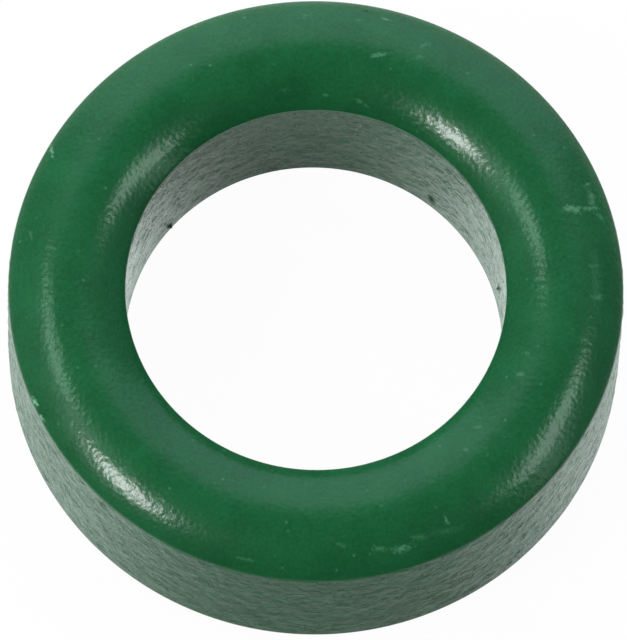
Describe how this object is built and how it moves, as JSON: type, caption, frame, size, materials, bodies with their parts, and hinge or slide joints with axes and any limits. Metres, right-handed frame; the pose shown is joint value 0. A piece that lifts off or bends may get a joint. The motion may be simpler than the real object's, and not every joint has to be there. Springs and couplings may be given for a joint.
{
  "type": "ferrite toroid core",
  "caption": "Ring-shaped ferrite core with crowned end faces and straight walls, under a glossy green epoxy coat. Wire is wound through its bore, or a cable is passed through it.",
  "frame": {"origin": "on the bore's axis, in the plane of the flat land of the lower end face, which the ring lies on", "axes": "+Z along the bore's axis, up through the upper end face; the ring is the same all round it, so +X and +Y are free"},
  "size_m": [0.0224, 0.0224, 0.0081],
  "materials": {
    "green_epoxy_coat": "gloss"
  },
  "bodies": {
    "root": {"toroid_core": "green_epoxy_coat"}
  },
  "joints": []
}
